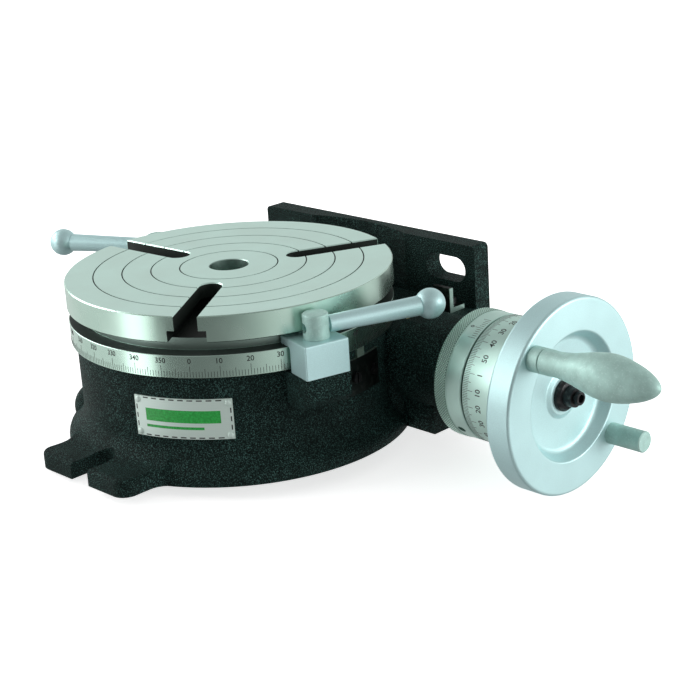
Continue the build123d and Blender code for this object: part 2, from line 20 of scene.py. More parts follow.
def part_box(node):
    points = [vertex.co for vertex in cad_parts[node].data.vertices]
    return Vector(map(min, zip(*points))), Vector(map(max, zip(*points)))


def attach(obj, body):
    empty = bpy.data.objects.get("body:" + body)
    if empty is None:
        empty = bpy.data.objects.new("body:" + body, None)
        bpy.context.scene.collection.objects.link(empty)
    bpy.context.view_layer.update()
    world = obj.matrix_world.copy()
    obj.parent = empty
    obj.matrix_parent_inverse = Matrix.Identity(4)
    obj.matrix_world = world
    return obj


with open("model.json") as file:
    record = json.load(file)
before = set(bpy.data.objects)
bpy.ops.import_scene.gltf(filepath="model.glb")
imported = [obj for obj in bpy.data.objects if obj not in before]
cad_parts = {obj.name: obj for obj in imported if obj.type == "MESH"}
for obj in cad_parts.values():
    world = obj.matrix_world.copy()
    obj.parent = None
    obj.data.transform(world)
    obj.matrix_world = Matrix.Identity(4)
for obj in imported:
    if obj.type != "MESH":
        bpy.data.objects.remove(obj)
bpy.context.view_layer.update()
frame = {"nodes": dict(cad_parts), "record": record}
nodes = frame["nodes"]
MM = 0.001


# %% [markdown]
# ## Where things are
#
# Two lines carry nearly everything: the table's upright axis at the origin, and the worm's axis
# along X. Positions along the worm are read from the frame. The steps and slots of the table are
# inside one node, where no box can show them, so their sizes are stated here as the casting has
# them.

# %% Measure the nodes that carry extra pieces
TABLE_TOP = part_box("table_top")[1].z
FLANGE_LOW = 63.8 * MM
FLANGE_TOP = 77.3 * MM
FLANGE_RADIUS = 99.6 * MM
NECK_RADIUS = 90.3 * MM
DISC_BOTTOM = 84.8 * MM
DISC_EDGE = 99.3 * MM
BORE_EDGE = 12.2 * MM
THROAT_HALF = 7.25 * MM
HEAD_HALF = 11.7 * MM
HEAD_HEIGHT = 7.2 * MM
SLOT_START = 31 * MM
ZERO_ANGLE = math.radians(-55.5)

collar_low, collar_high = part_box("graduated_collar")
WORM_Y = (collar_low.y + collar_high.y) / 2
WORM_Z = (collar_low.z + collar_high.z) / 2
COLLAR_RADIUS = (collar_high.z - collar_low.z) / 2
ring_low, ring_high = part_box("knurled_ring")
RING_Y = (ring_low.y + ring_high.y) / 2
RING_RADIUS = (ring_high.z - ring_low.z) / 2

plate_low, plate_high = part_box("name_plate")
print("table top at", round(TABLE_TOP / MM, 2), "mm")
print("worm line at", round(WORM_Y / MM, 2), round(WORM_Z / MM, 2), "mm")


# %% [markdown]
# ## Writing shader maths as sums
#
# A procedural finish is mostly arithmetic on positions and noise. Blender stores that as a graph of
# Math nodes, which is slow to write by hand and hard to read. A small class that wraps a node's
# output and overloads the operators lets the finish be written as an expression instead. Every
# other node comes from one method of the graph, and a finish is a graph that ends in Blender's main
# shader.

# %% A socket that can be added and multiplied
class Signal:
    """One output of a node. Arithmetic on it adds Math nodes to the same tree."""

    def __init__(self, graph, socket):
        self.graph = graph
        self.socket = socket

    def combine(self, operation, first, second=None, clamp=False):
        settings = {"operation": operation, "use_clamp": clamp}
        inputs = {0: first} if second is None else {0: first, 1: second}
        return self.graph.node("ShaderNodeMath", settings, inputs)

    def __add__(self, other):
        return self.combine("ADD", self, other)

    def __radd__(self, other):
        return self.combine("ADD", other, self)

    def __sub__(self, other):
        return self.combine("SUBTRACT", self, other)

    def __rsub__(self, other):
        return self.combine("SUBTRACT", other, self)

    def __mul__(self, other):
        return self.combine("MULTIPLY", self, other)

    def __rmul__(self, other):
        return self.combine("MULTIPLY", other, self)

    def between(self, low, high):
        """0 at low, 1 at high, held at 0 and 1 beyond them."""
        return self.combine("MULTIPLY", self - low, 1 / (high - low), clamp=True)

    def within(self, low, high, edge=0.0001):
        """1 between low and high, 0 outside, with a short ramp at both ends."""
        return self.between(low - edge, low) - self.between(high, high + edge)

    def size(self):
        """The value without its sign."""
        return self.combine("ABSOLUTE", self)

    def length_with(self, other):
        """The length of the vector whose two parts are these."""
        return self.combine("SQRT", self * self + other * other)


class Graph:
    """A tree of shader nodes in the making, of a material or of the world."""

    def __init__(self, tree):
        self.tree = tree

    def node(self, kind, settings=None, inputs=None, output=0):
        """Add a node, set it up, feed its sockets, and give back one output."""
        made = self.tree.nodes.new(kind)
        for key, value in (settings or {}).items():
            if key == "stops":
                ramp = made.color_ramp
                while len(ramp.elements) < len(value):
                    ramp.elements.new(1.0)
                for element, (place, color) in zip(ramp.elements, value):
                    element.position = place
                    element.color = color
            else:
                setattr(made, key, value)
        for key, value in (inputs or {}).items():
            self.feed(made.inputs[key], value)
        return Signal(self, made.outputs[output])

    def feed(self, socket, value):
        if isinstance(value, Signal):
            self.tree.links.new(value.socket, socket)
        else:
            socket.default_value = value

    def mix(self, factor, first, second):
        """From the first colour at 0 to the second at 1."""
        inputs = {0: factor, 6: first, 7: second}
        return self.node("ShaderNodeMix", {"data_type": "RGBA"}, inputs, output=2)


class Finish(Graph):
    """A material in the making."""

    def __init__(self, name, **constants):
        self.material = bpy.data.materials.new(name)
        self.material.use_nodes = True
        super().__init__(self.material.node_tree)
        self.shader = self.tree.nodes["Principled BSDF"]
        self.set(**constants)

    def set(self, **values):
        """Feed the main shader's sockets: base_color=... goes to Base Color."""
        for key, value in values.items():
            title = key.replace("_", " ").title().replace("Ior", "IOR")
            self.feed(self.shader.inputs[title], value)

    def place(self):
        """The point on the object in the shared frame, as three signals in metres."""
        coordinates = self.node("ShaderNodeTexCoord", output=3)
        split = self.node("ShaderNodeSeparateXYZ", {}, {0: coordinates})
        outputs = split.socket.node.outputs
        return [Signal(self, outputs[axis]) for axis in range(3)]

    def noise(self, per_metre, detail=2.0, roughness=0.5, line=None):
        """Noise between 0 and 1 in the object's own space, or along one line if line is given."""
        inputs = {"Scale": per_metre, "Detail": detail, "Roughness": roughness}
        if line is not None:
            inputs["W"] = line
            return self.node("ShaderNodeTexNoise", {"noise_dimensions": "1D"}, inputs)
        inputs["Vector"] = self.node("ShaderNodeTexCoord", output=3)
        return self.node("ShaderNodeTexNoise", {}, inputs)

    def bump(self, height, distance, strength=1.0):
        """Turn a height between 0 and 1 into a bent normal; distance is in metres."""
        inputs = {"Height": height, "Distance": distance, "Strength": strength}
        self.set(normal=self.node("ShaderNodeBump", {}, inputs))


def rgb(red, green, blue):
    return (red, green, blue, 1.0)


print("shader maths is ready")


# %% [markdown]
# ## Wrinkle paint
#
# The castings are sprayed with a dark green-black wrinkle paint: a rough skin of small folds that
# catches the light as a fine pale speckle. Fine noise bump gives the folds, and a slightly paler
# colour on their crests gives the speckle: a painted glint.

# %% Mix the wrinkle paint
def wrinkle_paint():
    paint = Finish("wrinkle_paint", specular_ior_level=0.08)
    folds = paint.noise(1500, detail=1.5, roughness=0.6)
    coarse = paint.noise(60, detail=2.0)
    crest = folds.between(0.50, 0.70)
    dark = rgb(0.0040, 0.0100, 0.0085)
    pale = rgb(0.080, 0.185, 0.165)
    # painted highlight: the fold crests are mixed towards a paler colour, a painted glint
    wear_and_highlight = crest * (0.5 + 0.4 * coarse.between(0.35, 0.65))
    paint.set(base_color=paint.mix(wear_and_highlight, dark, pale))
    paint.set(roughness=0.62 - 0.20 * crest)
    paint.bump(folds, 0.0006)
    return paint.material


WRINKLE = wrinkle_paint()
print("mixed", WRINKLE.name)


# %% [markdown]
# ## Ground and turned metal
#
# A ground or turned face is covered with very fine lines. They are too small to see one by one, but
# together they stretch the highlight across themselves, which is what makes a turned disc look like
# one. The lines here are noise along one distance only: the radius for a face, the length for a
# bar.

# %% Distances that turned lines follow
def about_table_axis(metal):
    """The distance from the table's upright axis."""
    x, y = metal.place()[:2]
    return x.length_with(y)


def along(axis):
    """A function that gives the distance along one of the frame's axes."""
    def distance(metal):
        return metal.place()[axis]
    return distance


def turned_metal(name, color, roughness, distance, lines_per_metre, depth, blotch=0.08):
    """Bare metal with fine lines that run across the given distance."""
    metal = Finish(name, metallic=1.0)
    line = distance(metal)
    fine = metal.noise(lines_per_metre, detail=2.0, line=line)
    cloud = metal.noise(35, detail=3.0)
    darker = rgb(*[part * (1 - 2 * blotch) for part in color])
    metal.set(base_color=metal.mix(cloud.between(0.3, 0.7), darker, rgb(*color)))
    metal.set(roughness=roughness + 0.10 * (fine - 0.5) + 0.10 * (cloud - 0.5))
    metal.bump(fine, depth)
    return metal.material


TURNED_X = turned_metal("turned_steel", (0.62, 0.86, 0.78), 0.42, along(0), 2200, 0.00003)
TURNED_Z = turned_metal("turned_upright", (0.60, 0.80, 0.74), 0.40, along(2), 2200, 0.00003, 0.10)
BRIGHT = turned_metal("bright_steel", (0.62, 0.78, 0.72), 0.28, along(0), 900, 0.00002)
MACHINED = turned_metal("machined_iron", (0.34, 0.42, 0.39), 0.42, about_table_axis, 700, 0.00004)
BRONZE = turned_metal("bearing_bronze", (0.52, 0.36, 0.18), 0.35, along(0), 1200, 0.00003)
BRASS = turned_metal("worn_brass", (0.90, 0.72, 0.36), 0.40, along(2), 1200, 0.00003)
print("six bare metals")


# %% [markdown]
# ## The table's finish and painted shade
#
# The table is one casting, but its faces were cut in different ways. The top is ground pale and the
# rim is turned and polished. The scribed circles, the insides of the T-slots, the groove and shelf
# under the disc and the centre bore are darkened with painted shade. All of it is one material, so
# each face is found by where it lies: masks of distance and height.

# %% Mix the table's finish
SLOT_ANGLES = [ZERO_ANGLE + math.radians(120 * number) for number in range(3)]
CIRCLE_RADII = [30.0 * MM, 47.5 * MM, 65.0 * MM, 82.5 * MM]
CIRCLE_HALF = 0.45 * MM
SKIN = 0.2 * MM


def ground_table():
    table = Finish("ground_table")
    x, y, z = table.place()
    radius = x.length_with(y)
    low = DISC_BOTTOM - SKIN

    # painted shade: the scribed circles and the walls inside the T-slots are mixed towards near
    # black
    below_top = z.within(TABLE_TOP - 12 * MM, TABLE_TOP - 0.35 * MM)
    recess_shade = 0.0
    for ring in CIRCLE_RADII:
        recess_shade = radius.within(ring - CIRCLE_HALF, ring + CIRCLE_HALF, 0.00003) * below_top + recess_shade
    for turn in SLOT_ANGLES:
        out = x * math.cos(turn) + y * math.sin(turn)
        aside = (y * math.cos(turn) - x * math.sin(turn)).size()
        throat = aside.within(-1, THROAT_HALF) * z.within(low, TABLE_TOP - 0.7 * MM)
        head = aside.within(-1, HEAD_HALF) * z.within(low, DISC_BOTTOM + HEAD_HEIGHT)
        walls = throat.combine("MAXIMUM", throat, head)
        inside = walls * out.between(SLOT_START, SLOT_START + SKIN)
        recess_shade = inside * radius.between(99.9 * MM, 99.6 * MM) + recess_shade
    recess_shade = recess_shade.combine("MINIMUM", recess_shade, 1.0)

    rim = radius.between(DISC_EDGE, DISC_EDGE + 0.25 * MM)
    # painted shade under the disc: the groove is mixed halfway towards a dark green
    groove_shade = z.within(FLANGE_TOP - 0.3 * MM, DISC_BOTTOM + SKIN) * (1 - rim)
    ledge = z.within(FLANGE_TOP - 0.3 * MM, FLANGE_TOP + SKIN)
    # painted shade: the flange's top face under the disc is darkened nearly to black
    shelf_shade = ledge * radius.within(NECK_RADIUS, DISC_EDGE)
    # painted shade: the centre bore is darkened halfway to black
    bore = 1 - radius.between(BORE_EDGE, BORE_EDGE + SKIN)
    fine = table.noise(1600, detail=2.0, line=radius)
    cloud = table.noise(35, detail=3.0).between(0.3, 0.7)
    top = table.mix(cloud, rgb(0.64, 0.86, 0.78), rgb(0.70, 0.94, 0.86))
    # painted shade: the rim's colour is darker than the top's
    side = table.mix(cloud, rgb(0.50, 0.70, 0.60), rgb(0.60, 0.80, 0.70))
    shaded_colour = table.mix(groove_shade * 0.5, table.mix(rim, top, side), rgb(0.16, 0.21, 0.17))
    # all of this painted shade is mixed into the colour, and it also lowers metallic and raises
    # roughness
    recess_shade = recess_shade.combine("MAXIMUM", recess_shade, shelf_shade * 0.95)
    dark = recess_shade.combine("MAXIMUM", recess_shade, bore * 0.5)
    table.set(base_color=table.mix(dark, shaded_colour, rgb(0.012, 0.020, 0.016)))
    table.set(metallic=1 - recess_shade * 0.7)
    table.set(roughness=0.36 - 0.12 * rim + 0.20 * recess_shade + 0.10 * (fine - 0.5) + 0.06 * cloud)
    table.bump(fine, 0.00003)
    return table.material


GROUND_TABLE_AND_SHADE = ground_table()
print("mixed", GROUND_TABLE_AND_SHADE.name)


# %% [markdown]
# ## Silver enamel and satin steel
#
# Handwheel, lever bars, balls and clamp blocks are castings and bars under a silver enamel. It
# flows a little as it dries and leaves the soft dimples called orange peel, and it carries fine
# metal flake. The handle, its pin and the clamp nuts are bare steel instead, which hands and oil
# have dulled. It is mixed as only partly metallic, so that it stays an even grey and shows no sharp
# reflections.

# %% Mix the enamel and the satin steel
def silver_enamel():
    enamel = Finish("silver_enamel", metallic=0.6)
    flake = enamel.noise(2600, detail=1.0)
    cloud = enamel.noise(40, detail=2.0)
    peel = enamel.noise(420, detail=2.0)
    low = rgb(0.51, 0.73, 0.735)
    high = rgb(0.62, 0.88, 0.885)
    shade = flake.between(0.3, 0.7) * 0.6 + cloud.between(0.3, 0.7) * 0.4
    enamel.set(base_color=enamel.mix(shade, low, high))
    enamel.set(roughness=0.46 + 0.10 * (flake - 0.5))
    enamel.bump(peel, 0.00012, 0.35)
    return enamel.material


def satin_steel():
    """Small turned parts that hands have worn to an even, soft sheen, with a pale speckle in the
    colour that is a painted glint.
    """
    satin = Finish("satin_steel", metallic=0.45)
    smear = satin.noise(160, detail=3.0).between(0.3, 0.75)
    glint_spots = satin.noise(900, detail=2.0).between(0.55, 0.75)
    cloudy = satin.mix(smear, rgb(0.50, 0.74, 0.68), rgb(0.40, 0.60, 0.55))
    # painted glints: pale spots mixed into the colour
    satin.set(base_color=satin.mix(glint_spots * 0.5, cloudy, rgb(0.70, 0.88, 0.84)))
    satin.set(roughness=0.55 + 0.10 * smear)
    satin.bump(satin.noise(1800), 0.00002, 0.5)
    return satin.material


SATIN = satin_steel()
ENAMEL = silver_enamel()
print("mixed", ENAMEL.name, SATIN.name)


# %% [markdown]
# ## Black oxide, ink and printed aluminium
#
# Screws and nuts are dipped in a hot salt bath that leaves a thin black oxide: still metal, with a
# low sheen, and browner where it has rubbed. The index plate has lost its oxide on its tab. The
# stop bracket's face at +X is painted lighter, a painted highlight. The scales are filled with
# black ink, and the name plate is a thin aluminium sheet printed in green.

# %% Mix the small finishes
def black_oxide():
    oxide = Finish("black_oxide", metallic=0.9)
    wear_and_highlight = oxide.noise(300, detail=3.0).between(0.5, 0.8)
    oxide.set(base_color=oxide.mix(wear_and_highlight, rgb(0.028, 0.030, 0.032), rgb(0.10, 0.095, 0.09)))
    oxide.set(roughness=0.42 - 0.12 * wear_and_highlight)
    oxide.bump(oxide.noise(1500), 0.00003, 0.6)
    return oxide.material


def printed_ink(name, color, roughness=0.5):
    ink = Finish(name)
    worn = ink.noise(900, detail=2.0).between(0.35, 0.75)
    faded = rgb(*[min(1.0, part * 1.6 + 0.01) for part in color])
    ink.set(base_color=ink.mix(worn, rgb(*color), faded))
    ink.set(roughness=roughness + 0.15 * worn)
    return ink.material


def plate_aluminium():
    sheet = Finish("plate_aluminium", metallic=0.35)
    brushed = sheet.noise(4000, detail=2.0, line=sheet.place()[2])
    sheet.set(base_color=sheet.mix(brushed, rgb(0.66, 0.80, 0.74), rgb(0.80, 0.95, 0.88)))
    sheet.set(roughness=0.40 + 0.15 * brushed)
    sheet.bump(brushed, 0.00001, 0.6)
    return sheet.material


def worn_edge(name, axis, place, width, bare_and_highlight):
    """Black oxide that turns to another colour beyond a place along one axis: worn through to steel
    on the index plate, and a painted highlight on the stop bracket.
    """
    part = Finish(name, metallic=0.9)
    # beyond the place the colour turns lighter: worn steel on the index plate, a painted highlight
    # on the stop bracket
    wear_and_highlight = part.place()[axis].between(place - width / 2, place + width / 2)
    blotch = part.noise(300, detail=3.0).between(0.5, 0.8)
    black = part.mix(blotch, rgb(0.012, 0.018, 0.016), rgb(0.05, 0.06, 0.055))
    part.set(base_color=part.mix(wear_and_highlight, black, bare_and_highlight))
    part.set(roughness=0.45 - 0.10 * wear_and_highlight)
    part.bump(part.noise(1500), 0.00003, 0.6)
    return part.material


OXIDE = black_oxide()
BLACK_INK = printed_ink("black_ink", (0.012, 0.016, 0.015))
GREEN_INK = printed_ink("green_ink", (0.020, 0.34, 0.055), 0.35)
PLATE = plate_aluminium()
INDEX_TAB_FOOT = 57.5 * MM
INDEX = worn_edge("index_plate_steel", 2, INDEX_TAB_FOOT, 0.4 * MM, rgb(0.60, 0.78, 0.66))
# painted highlight: the stop bracket's face at +X is given a lighter colour
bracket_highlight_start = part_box("stop_bracket")[1].x - 0.5 * MM
BRACKET_WITH_HIGHLIGHT = worn_edge("bracket_steel_painted_highlight", 0, bracket_highlight_start, 0.1 * MM, rgb(0.24, 0.35, 0.31))
print("mixed", ", ".join(mat.name for mat in (OXIDE, BLACK_INK, GREEN_INK, PLATE, INDEX, BRACKET_WITH_HIGHLIGHT)))


# %% [markdown]
# ## Give every node its finish
#
# The record names one material slot for each node. Most nodes take the finish of their slot. A few
# differ, because their turned lines run another way, because they have worn, or because they carry
# a painted highlight, and are listed apart.

# %% Assign the finishes
finish_of_slot = {
    "wrinkle_paint": WRINKLE, "machined_iron": MACHINED, "ground_iron": GROUND_TABLE_AND_SHADE,
    "bright_steel": BRIGHT, "satin_steel": TURNED_X, "silver_enamel": ENAMEL, "black_oxide": OXIDE,
    "plate_aluminium": PLATE, "brass": BRASS, "bronze": BRONZE,
}
finish_of_node = {
    "front_clamp_nut": SATIN, "rear_clamp_nut": SATIN, "spinner_handle": SATIN,
    "handle_ferrule": SATIN, "finger_pin": SATIN, "stop_bracket": BRACKET_WITH_HIGHLIGHT, "index_plate": INDEX,
    "front_clamp_stud": TURNED_Z, "rear_clamp_stud": TURNED_Z, "centre_sleeve": TURNED_Z,
}
slot_of_node = {part["node"]: part["material_slot"] for part in frame["record"]["subparts"]}


def give_finish(thing, material):
    """Replace whatever materials a thing came with by one."""
    thing.data.materials.clear()
    thing.data.materials.append(material)


for node_name, node in nodes.items():
    give_finish(node, finish_of_node.get(node_name, finish_of_slot[slot_of_node[node_name]]))
print("finished", len(nodes), "nodes")


# %% [markdown]
# ## Marks wrapped round a cylinder
#
# Both scales and the name plate's print lie on cylinders. Each mark is drawn flat first, in
# millimetres from its own middle: u runs round the cylinder and v along it. A wrap then turns u
# into an angle. The marks are thin closed solids sunk into the surface, so they stay marks when the
# model is exported.

# %% Draw flat marks
class Marks:
    """Flat shapes collected in millimetres, as corners and faces of thin solids."""

    def __init__(self):
        self.corners = []
        self.faces = []

    def bar(self, u, v, width, height, steps=1):
        """An upright bar centred on u, v, cut in steps along u so that it can bend."""
        start = len(self.corners)
        for depth in (0, 1):
            for side in (-0.5, 0.5):
                for step in range(steps + 1):
                    across = u + width * (step / steps - 0.5)
                    self.corners.append((across, v + side * height, depth))
        row = steps + 1
        at = [start + row * n for n in range(4)]
        for step in range(steps):
            low_in, high_in, low_out, high_out = (base + step for base in at)
            self.faces.append((low_in, high_in, high_in + 1, low_in + 1))
            self.faces.append((low_out, low_out + 1, high_out + 1, high_out))
            self.faces.append((low_in, low_in + 1, low_out + 1, low_out))
            self.faces.append((high_in, high_out, high_out + 1, high_in + 1))
        self.faces.append((at[0], at[2], at[3], at[1]))
        last = [base + steps for base in at]
        self.faces.append((last[0], last[1], last[3], last[2]))

    def text(self, words, u, v, size, turn=0.0):
        """Numerals centred on u, v, turned by an angle in degrees."""
        flat = glyphs(words, size)
        start = len(self.corners)
        rotation = Matrix.Rotation(math.radians(turn), 2)
        for x, y, depth in flat["corners"]:
            across, up = rotation @ Vector((x, y))
            self.corners.append((u + across, v + up, depth))
        self.faces += [tuple(start + index for index in face) for face in flat["faces"]]


drawn = {}


def glyphs(words, size):
    """A word in the built-in font as a thin solid centred on the origin. Each is made once."""
    if (words, size) in drawn:
        return drawn[(words, size)]
    curve = bpy.data.curves.new("numeral", "FONT")
    curve.body = words
    curve.size = size
    curve.resolution_u = 3
    curve.extrude = 0.5
    curve.offset = 0.012 * size
    carrier = bpy.data.objects.new("numeral", curve)
    bpy.context.scene.collection.objects.link(carrier)
    mesh = bpy.data.meshes.new_from_object(carrier)
    points = [vertex.co.copy() for vertex in mesh.vertices]
    middle_x = (min(p.x for p in points) + max(p.x for p in points)) / 2
    middle_y = (min(p.y for p in points) + max(p.y for p in points)) / 2
    drawn[(words, size)] = {
        "corners": [(p.x - middle_x, p.y - middle_y, 1 if p.z > 0 else 0) for p in points],
        "faces": [tuple(polygon.vertices) for polygon in mesh.polygons],
    }
    bpy.data.objects.remove(carrier)
    bpy.data.meshes.remove(mesh)
    bpy.data.curves.remove(curve)
    return drawn[(words, size)]


# %% Wrap the marks and make them pieces
SINK = 0.02 * MM
PROUD = 0.03 * MM


def piece_from(name, corners, faces, material, body):
    """Make a mesh object that rides on a body."""
    mesh = bpy.data.meshes.new(name)
    mesh.from_pydata(corners, [], faces)
    mesh.validate()
    mesh.update()
    thing = bpy.data.objects.new(name, mesh)
    bpy.context.scene.collection.objects.link(thing)
    mesh.materials.append(material)
    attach(thing, body)
    return thing


def wrap(name, marks, radius, to_point, material, body):
    """Bend flat marks round a cylinder. to_point takes an angle, a distance along and a radius."""
    corners = []
    for u, v, depth in marks.corners:
        reach = radius + (PROUD if depth else -SINK)
        corners.append(to_point(u * MM / radius, v * MM, reach))
    return piece_from(name, corners, marks.faces, material, body)


def round_table(angle, along_axis, reach):
    """Angle counts anticlockwise from the zero mark, seen from above."""
    turn = ZERO_ANGLE + angle
    return (reach * math.cos(turn), reach * math.sin(turn), along_axis)


print("marks can be drawn and wrapped")


# %% [markdown]
# ## The degree scale
#
# The lower flange of the table is engraved in single degrees, with longer lines at 5 and 10 degrees
# and a number over every tenth. On the real table a pantograph engraver cuts them and they are then
# filled with ink. Zero is on the centre line of one T-slot.

# %% Engrave the degree scale
DEGREE = math.radians(1) * FLANGE_RADIUS / MM
SCALE_FOOT = FLANGE_LOW / MM + 0.4
LINE_WIDTH = 0.26


def line_height(count, tall, middle, short):
    """Every tenth line of a scale is tall and every fifth is of middle height."""
    return tall if count % 10 == 0 else middle if count % 5 == 0 else short


def degree_scale():
    lines = Marks()
    numbers = Marks()
    for degree in range(360):
        height = line_height(degree, 6.6, 5.0, 3.4)
        lines.bar(degree * DEGREE, SCALE_FOOT + height / 2, LINE_WIDTH, height)
        if degree % 10 == 0:
            numbers.text(str(degree), degree * DEGREE, SCALE_FOOT + 9.7, 4.4)
    wrap("degree_lines", lines, FLANGE_RADIUS, round_table, BLACK_INK, "table")
    wrap("degree_numbers", numbers, FLANGE_RADIUS, round_table, BLACK_INK, "table")
    return len(lines.faces) + len(numbers.faces)


print("degree scale,", degree_scale(), "faces")


# %% [markdown]
# ## The minute scale on the collar
#
# One turn of the handwheel is 4 degrees of the table, so the collar reads minutes: a line for each,
# longer at 5 and 10, and a number every 10. Whole degrees stand among the minutes. The numbers read
# along the collar's axis, with their tops towards the knurled ring.

# %% Engrave the collar
COLLAR_LINE_END = collar_low.x / MM + 0.5
MINUTES_A_TURN = 240
COLLAR_START = -23 / 1.5
READING_ANGLE = math.radians(24)


def round_worm(angle, along_axis, reach):
    """Angle counts from the top of the collar towards the front of the machine."""
    return (along_axis, WORM_Y - reach * math.sin(angle), WORM_Z + reach * math.cos(angle))


def collar_scale():
    lines = Marks()
    numbers = Marks()
    minute = 2 * math.pi * COLLAR_RADIUS / MM / MINUTES_A_TURN
    start = COLLAR_START * minute
    for count in range(MINUTES_A_TURN):
        height = line_height(count, 7.4, 5.6, 3.8)
        lines.bar(start + count * minute, COLLAR_LINE_END + height / 2, LINE_WIDTH, height)
        if count % 10 == 0:
            label = str(count % 60) if count % 60 else str(count // 60)
            numbers.text(label, start + count * minute, COLLAR_LINE_END + 11.2, 5.0, 180)
    wrap("collar_lines", lines, COLLAR_RADIUS, round_worm, BLACK_INK, "dial")
    wrap("collar_numbers", numbers, COLLAR_RADIUS, round_worm, BLACK_INK, "dial")
    return len(lines.faces) + len(numbers.faces)


def ring_scale():
    """The short scale on the ring that the collar is read against."""
    lines = Marks()
    edge = ring_high.x / MM - 0.8
    middle = READING_ANGLE * COLLAR_RADIUS / MM
    for count in range(-5, 6):
        height = 5.4 if count % 5 == 0 else 3.4
        lines.bar(middle + count * 1.6, edge - height / 2, LINE_WIDTH, height)
    lines.text("0", middle, edge - 7.6, 3.6, 180)
    wrap("ring_lines", lines, COLLAR_RADIUS, round_worm, BLACK_INK, "eccentric")
    return len(lines.faces)


print("minute scale,", collar_scale(), "faces; reading scale,", ring_scale(), "faces")


# %% [markdown]
# ## Diamond knurl
#
# The band that the operator grips to swing the worm in and out of mesh is knurled. A knurling wheel
# presses two sets of crossing grooves, which leave small four-sided points. On a grid where every
# second point is raised, four triangles round each raised point make exactly that.

# %% Roll the knurl
BAND_DEPTH = 0.5 * MM
KNURL_PITCH = 0.8 * MM
KNURL_HEIGHT = 0.45 * MM


def knurl(name, body, y, z, radius, start, end, pitch, height, material):
    """A closed band of small pyramids round a line along X."""
    count = 2 * round(math.pi * radius / pitch)
    rows = 2 * round((end - start) / pitch / 2)

    def point(row, step, reach):
        turn = 2 * math.pi * step / count
        along_x = start + (end - start) * row / rows
        return (along_x, y + reach * math.cos(turn), z + reach * math.sin(turn))

    corners = []
    for row in range(rows + 1):
        for step in range(count):
            raised = height if (row + step) % 2 and 0 < row < rows else 0.0
            corners.append(point(row, step, radius + raised))
    faces = []
    for row in range(rows):
        for step in range(count):
            a = row * count + step
            b = row * count + (step + 1) % count
            c, d = b + count, a + count
            if (row + step) % 2:
                faces += [(a, b, d), (b, c, d)]
            else:
                faces += [(a, b, c), (a, c, d)]

    inner = len(corners)
    for row in (0, rows):
        corners += [point(row, step, radius - BAND_DEPTH) for step in range(count)]
    last = rows * count
    for step in range(count):
        after = (step + 1) % count
        faces.append((step, inner + step, inner + after, after))
        faces.append((last + step, last + after, inner + count + after, inner + count + step))
        faces.append((inner + step, inner + count + step, inner + count + after, inner + after))
    return piece_from(name, corners, faces, material, body)


def knurled_steel():
    """Painted highlight on the points, painted shade down in the grooves."""
    steel = Finish("knurled_steel", metallic=0.7, roughness=0.45)
    y, z = steel.place()[1:]
    reach = (y - RING_Y).length_with(z - WORM_Z)
    points = reach.between(RING_RADIUS + 0.05 * MM, RING_RADIUS + 0.3 * MM)
    # painted light: the raised points are mixed bright and the grooves dark
    steel.set(base_color=steel.mix(points, rgb(0.22, 0.36, 0.30), rgb(0.72, 0.98, 0.88)))
    return steel.material


KNURL_PAINTED_LIGHT = knurled_steel()
grip_band = knurl("ring_knurl", "eccentric", RING_Y, WORM_Z, RING_RADIUS + 0.02 * MM,
                  ring_low.x + 1.0 * MM, ring_low.x + 9.4 * MM, KNURL_PITCH, KNURL_HEIGHT, KNURL_PAINTED_LIGHT)
print("knurl,", len(grip_band.data.polygons), "faces")


# %% [markdown]
# ## The name plate's print
#
# The plate is riveted to the drum. Its print here is plain: a dashed dark frame and two green bands
# of different widths. They are wrapped round the drum like the scales, cut in short steps so they
# bend.

# %% Print the name plate
PLATE_RADIUS = 97.3 * MM
PLATE_ANGLE = math.radians(-60.45)


def round_drum(angle, along_axis, reach):
    """Angle counts anticlockwise from the middle of the plate."""
    turn = PLATE_ANGLE + angle
    return (reach * math.cos(turn), reach * math.sin(turn), along_axis)


def plate_print():
    bands = Marks()
    frame_lines = Marks()
    middle = (plate_low.z + plate_high.z) / 2 / MM
    for side in (-1, 1):
        for dash in range(-4, 5):
            frame_lines.bar(dash * 5.6, middle + side * 11.4, 3.4, 0.7, 3)
        for dash in (-1, 0, 1):
            frame_lines.bar(side * 29.0, middle + dash * 5.2, 0.7, 3.0)
    bands.bar(0, middle + 1.4, 46, 7.6, 24)
    bands.bar(-5, middle - 5.6, 36, 1.6, 18)
    wrap("plate_frame", frame_lines, PLATE_RADIUS, round_drum, BLACK_INK, "base")
    wrap("plate_print", bands, PLATE_RADIUS, round_drum, GREEN_INK, "base")
    return len(frame_lines.faces) + len(bands.faces)


print("plate print,", plate_print(), "faces")


# %% [markdown]
# ## Floor
#
# The handwheel hangs lower than the base, so on a bench the table leans on its rim. The floor here
# is therefore a little out of level with the frame: it touches the rim and the far side of the
# base. It glows softly so that it stays nearly white, and the glow is dimmer close to the table: a
# painted shadow round the table, besides the faint shadow that the lamps cast on it. Only the
# camera sees it, because a white floor would light the dark castings from below.

# %% Lay the floor
BASE_RADIUS = 107.5 * MM
LEAN_TOWARDS = Vector((-0.968, -0.25, 0)).normalized()
FLOOR_HALF = 6.0
wheel_low, wheel_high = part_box("handwheel")
rim_point = Vector(((wheel_low.x + wheel_high.x) / 2, WORM_Y, wheel_low.z))
SLOPE = rim_point.z / (rim_point.dot(LEAN_TOWARDS) - BASE_RADIUS)


def floor_height(x, y):
    """The floor's height: 0 at the far side of the base, and lower towards the handwheel."""
    return SLOPE * (Vector((x, y, 0)).dot(LEAN_TOWARDS) - BASE_RADIUS)


